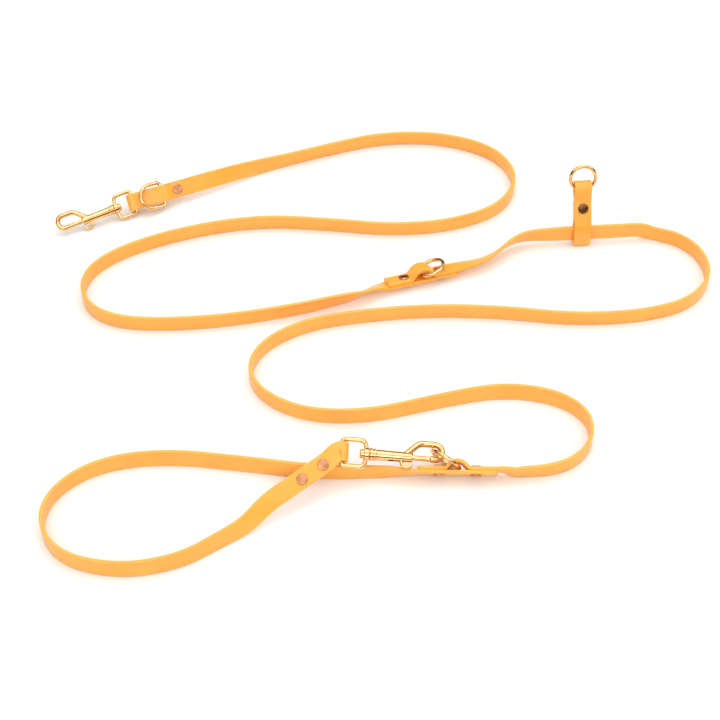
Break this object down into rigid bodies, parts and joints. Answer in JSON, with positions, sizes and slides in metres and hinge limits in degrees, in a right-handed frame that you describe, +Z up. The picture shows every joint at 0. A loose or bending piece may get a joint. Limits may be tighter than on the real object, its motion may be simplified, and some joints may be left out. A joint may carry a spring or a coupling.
{
  "type": "training leash",
  "caption": "Coated flat-strap training leash with a snap hook at each end, riveted ring joints, a D-ring and a sliding ring loop.",
  "frame": {"origin": "centre of the footprint of the leash as it lies, on the floor", "axes": "+Z up from the floor, +X to the right along the long side of the layout, +Y away from the handle's side"},
  "size_m": [0.4949, 0.4245, 0.0602],
  "materials": {
    "coated_strap": "smooth coated webbing, satin gloss",
    "gold_hardware": "polished pale gold plating",
    "rivet_metal": "polished rose-gold plating",
    "spring_wire": "bright drawn wire"
  },
  "bodies": {
    "straps": {"lead_strap": "coated_strap", "middle_strap": "coated_strap", "handle_strap": "coated_strap", "lead_rivet_post": "rivet_metal", "lead_rivet_cap": "rivet_metal", "middle_left_rivet_post": "rivet_metal", "middle_left_rivet_cap": "rivet_metal", "middle_right_rivet_post": "rivet_metal", "middle_right_rivet_cap": "rivet_metal", "handle_left_rivet_post": "rivet_metal", "handle_left_rivet_cap": "rivet_metal", "handle_right_rivet_post": "rivet_metal", "handle_right_rivet_cap": "rivet_metal", "snap_left_rivet_post": "rivet_metal", "snap_left_rivet_cap": "rivet_metal", "snap_right_rivet_post": "rivet_metal", "snap_right_rivet_cap": "rivet_metal"},
    "lead_eye": {"lead_swivel_eye": "gold_hardware"},
    "lead_snap": {"lead_snap_body": "gold_hardware", "lead_bolt_spring": "spring_wire"},
    "lead_bolt": {"lead_snap_bolt": "gold_hardware", "lead_thumb_lug": "gold_hardware"},
    "lead_d_ring": {"lead_d_ring": "gold_hardware"},
    "middle_ring": {"middle_ring": "gold_hardware"},
    "slider": {"slider_strap": "coated_strap", "slider_rivet_post": "rivet_metal", "slider_rivet_cap": "rivet_metal"},
    "slider_ring": {"slider_ring": "gold_hardware"},
    "handle_ring": {"handle_ring": "gold_hardware"},
    "handle_eye": {"handle_swivel_eye": "gold_hardware"},
    "handle_snap": {"handle_snap_body": "gold_hardware", "handle_bolt_spring": "spring_wire"},
    "handle_bolt": {"handle_snap_bolt": "gold_hardware", "handle_thumb_lug": "gold_hardware"}
  },
  "joints": [
    {"name": "lead_snap_hang", "type": "hinge", "parent": "straps", "child": "lead_eye", "pos_m": [-0.18704, 0.1312, 0.0094], "axis": [-0.356, 0.5852, 0.7286], "range_deg": [-55, 55]},
    {"name": "lead_snap_swivel", "type": "hinge", "parent": "lead_eye", "child": "lead_snap", "pos_m": [-0.20179, 0.12355, 0.00834], "axis": [-0.8859, -0.4595, -0.0637], "continuous": true},
    {"name": "lead_bolt_slide", "type": "slide", "parent": "lead_snap", "child": "lead_bolt", "axis": [0.8859, 0.4595, 0.0637], "range_m": [0, 0.00675], "stiffness_N_per_m": 250, "springref_m": -0.002, "deforming": ["lead_bolt_spring"]},
    {"name": "lead_d_ring_swing", "type": "hinge", "parent": "straps", "child": "lead_d_ring", "pos_m": [-0.16535, 0.13902, 0.01097], "axis": [-0.2774, 0.623, 0.7314], "range_deg": [0, 130]},
    {"name": "middle_ring_swing", "type": "hinge", "parent": "straps", "child": "middle_ring", "pos_m": [0.03494, 0.05407, 0.00829], "axis": [0.2939, -0.9045, 0.309], "range_deg": [0, 130]},
    {"name": "slider_slide", "type": "slide", "parent": "straps", "child": "slider", "axis": [0.9972, 0.075, 0], "range_m": [-0.013, 0.028]},
    {"name": "slider_ring_swing", "type": "hinge", "parent": "slider", "child": "slider_ring", "pos_m": [0.15687, 0.11126, 0.0417], "axis": [0.9972, 0.075, 0], "range_deg": [-100, 80]},
    {"name": "handle_ring_swing", "type": "hinge", "parent": "straps", "child": "handle_ring", "pos_m": [0.05406, -0.13059, 0.00885], "axis": [-0.0087, -0.4999, 0.866], "range_deg": [-0.8, 2]},
    {"name": "handle_snap_hang", "type": "hinge", "parent": "straps", "child": "handle_eye", "pos_m": [-0.0232, -0.128, 0.022], "axis": [0.0634, 0.8825, 0.466], "range_deg": [-1.5, 0.05]},
    {"name": "handle_snap_swivel", "type": "hinge", "parent": "handle_eye", "child": "handle_snap", "pos_m": [-0.00484, -0.12813, 0.01974], "axis": [0.9925, -0.0069, -0.1219], "range_deg": [-2, 0.4]},
    {"name": "handle_bolt_slide", "type": "slide", "parent": "handle_snap", "child": "handle_bolt", "axis": [-0.9925, 0.0069, 0.1219], "range_m": [0, 0.0075], "stiffness_N_per_m": 250, "springref_m": -0.002, "deforming": ["handle_bolt_spring"]}
  ]
}
